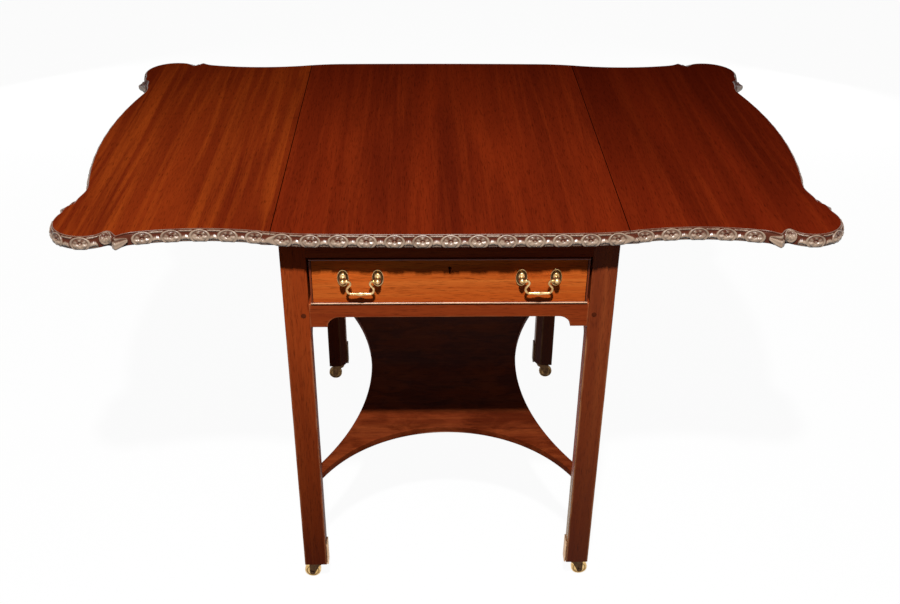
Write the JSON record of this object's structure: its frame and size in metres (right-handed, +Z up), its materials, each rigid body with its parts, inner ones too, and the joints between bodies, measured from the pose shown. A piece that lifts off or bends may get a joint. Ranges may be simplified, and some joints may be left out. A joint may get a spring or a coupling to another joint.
{
  "type": "pembroke table",
  "caption": "Drop-leaf table with a serpentine carved-edge top, drawer with bail handles, swinging leaf brackets, square legs, hollow-sided shelf and swivel casters.",
  "frame": {"origin": "on the floor under the middle of the table, level with the bottom of the caster wheels", "axes": "+X across the leaves to the right, -Y to the drawer side, +Z up"},
  "size_m": [1.1418, 0.732, 0.711],
  "materials": {
    "top_mahogany": "polished mahogany",
    "frame_mahogany": "worn polish",
    "oak": "unpolished",
    "brass": "aged, softly polished",
    "iron": "dark, aged"
  },
  "bodies": {
    "frame": {"back_rail": "frame_mahogany", "caster_plates": "brass", "caster_screws": "iron", "drawer_kickers": "oak", "drawer_rail_lower": "frame_mahogany", "drawer_rail_upper": "frame_mahogany", "drawer_runners": "oak", "drawer_stops": "oak", "fly_pins": "iron", "fly_rail_left": "frame_mahogany", "fly_rail_right": "frame_mahogany", "glue_blocks": "oak", "hinge_pins": "iron", "hinge_top_plates": "iron", "hinge_top_screws": "iron", "joint_pegs": "frame_mahogany", "leg_back_left": "frame_mahogany", "leg_back_right": "frame_mahogany", "leg_front_left": "frame_mahogany", "leg_front_right": "frame_mahogany", "shelf": "frame_mahogany", "side_rail_left": "frame_mahogany", "side_rail_right": "frame_mahogany", "top_board": "top_mahogany", "top_screws": "iron"},
    "leaf_left": {"leaf_left": "top_mahogany", "hinge_leaf_plates_left": "iron", "hinge_leaf_screws_left": "iron"},
    "leaf_right": {"leaf_right": "top_mahogany", "hinge_leaf_plates_right": "iron", "hinge_leaf_screws_right": "iron"},
    "fly_left": {"fly_bracket_left": "oak"},
    "fly_right": {"fly_bracket_right": "oak"},
    "drawer": {"drawer_front": "frame_mahogany", "drawer_side_left": "oak", "drawer_side_right": "oak", "drawer_back": "oak", "drawer_bottom": "oak", "cock_bead_top": "frame_mahogany", "cock_bead_bottom": "frame_mahogany", "cock_beads_side": "frame_mahogany", "lock_case": "brass", "handle_rosettes": "brass", "handle_posts": "brass", "handle_nuts": "brass"},
    "lock_bolt": {"lock_bolt": "brass"},
    "bail_left": {"handle_bail_left": "brass"},
    "bail_right": {"handle_bail_right": "brass"},
    "caster_front_left": {"caster_horn_front_left": "brass", "caster_axle_front_left": "brass"},
    "wheel_front_left": {"caster_wheel_front_left": "brass"},
    "caster_front_right": {"caster_horn_front_right": "brass", "caster_axle_front_right": "brass"},
    "wheel_front_right": {"caster_wheel_front_right": "brass"},
    "caster_back_left": {"caster_horn_back_left": "brass", "caster_axle_back_left": "brass"},
    "wheel_back_left": {"caster_wheel_back_left": "brass"},
    "caster_back_right": {"caster_horn_back_right": "brass", "caster_axle_back_right": "brass"},
    "wheel_back_right": {"caster_wheel_back_right": "brass"}
  },
  "joints": [
    {"name": "leaf_left_hinge", "type": "hinge", "parent": "frame", "child": "leaf_left", "pos_m": [-0.253, 0, 0.694], "axis": [0, -1, 0], "range_deg": [0, 90]},
    {"name": "leaf_right_hinge", "type": "hinge", "parent": "frame", "child": "leaf_right", "pos_m": [0.253, 0, 0.694], "axis": [0, 1, 0], "range_deg": [0, 90]},
    {"name": "fly_left_hinge", "type": "hinge", "parent": "frame", "child": "fly_left", "pos_m": [-0.23805, 0.095, 0.65], "axis": [0, 0, 1], "range_deg": [-90, 0]},
    {"name": "fly_right_hinge", "type": "hinge", "parent": "frame", "child": "fly_right", "pos_m": [0.23805, 0.095, 0.65], "axis": [0, 0, -1], "range_deg": [-90, 0]},
    {"name": "drawer_slide", "type": "slide", "parent": "frame", "child": "drawer", "axis": [0, -1, 0], "range_m": [0, 0.36]},
    {"name": "lock_bolt_slide", "type": "slide", "parent": "drawer", "child": "lock_bolt", "axis": [0, 0, -1], "range_m": [-0.006, 0]},
    {"name": "bail_left_hinge", "type": "hinge", "parent": "drawer", "child": "bail_left", "pos_m": [-0.131, -0.3315, 0.621], "axis": [-1, 0, 0], "range_deg": [-12, 90]},
    {"name": "bail_right_hinge", "type": "hinge", "parent": "drawer", "child": "bail_right", "pos_m": [0.131, -0.3315, 0.621], "axis": [-1, 0, 0], "range_deg": [-12, 90]},
    {"name": "caster_front_left_swivel", "type": "hinge", "parent": "frame", "child": "caster_front_left", "pos_m": [-0.228, -0.301, 0.034], "axis": [0, 0, 1], "continuous": true},
    {"name": "wheel_front_left_spin", "type": "hinge", "parent": "caster_front_left", "child": "wheel_front_left", "pos_m": [-0.236, -0.301, 0.014], "axis": [0, 1, 0], "continuous": true},
    {"name": "caster_front_right_swivel", "type": "hinge", "parent": "frame", "child": "caster_front_right", "pos_m": [0.228, -0.301, 0.034], "axis": [0, 0, 1], "continuous": true},
    {"name": "wheel_front_right_spin", "type": "hinge", "parent": "caster_front_right", "child": "wheel_front_right", "pos_m": [0.236, -0.301, 0.014], "axis": [0, 1, 0], "continuous": true},
    {"name": "caster_back_left_swivel", "type": "hinge", "parent": "frame", "child": "caster_back_left", "pos_m": [-0.228, 0.301, 0.034], "axis": [0, 0, 1], "continuous": true},
    {"name": "wheel_back_left_spin", "type": "hinge", "parent": "caster_back_left", "child": "wheel_back_left", "pos_m": [-0.236, 0.301, 0.014], "axis": [0, 1, 0], "continuous": true},
    {"name": "caster_back_right_swivel", "type": "hinge", "parent": "frame", "child": "caster_back_right", "pos_m": [0.228, 0.301, 0.034], "axis": [0, 0, 1], "continuous": true},
    {"name": "wheel_back_right_spin", "type": "hinge", "parent": "caster_back_right", "child": "wheel_back_right", "pos_m": [0.236, 0.301, 0.014], "axis": [0, 1, 0], "continuous": true}
  ]
}
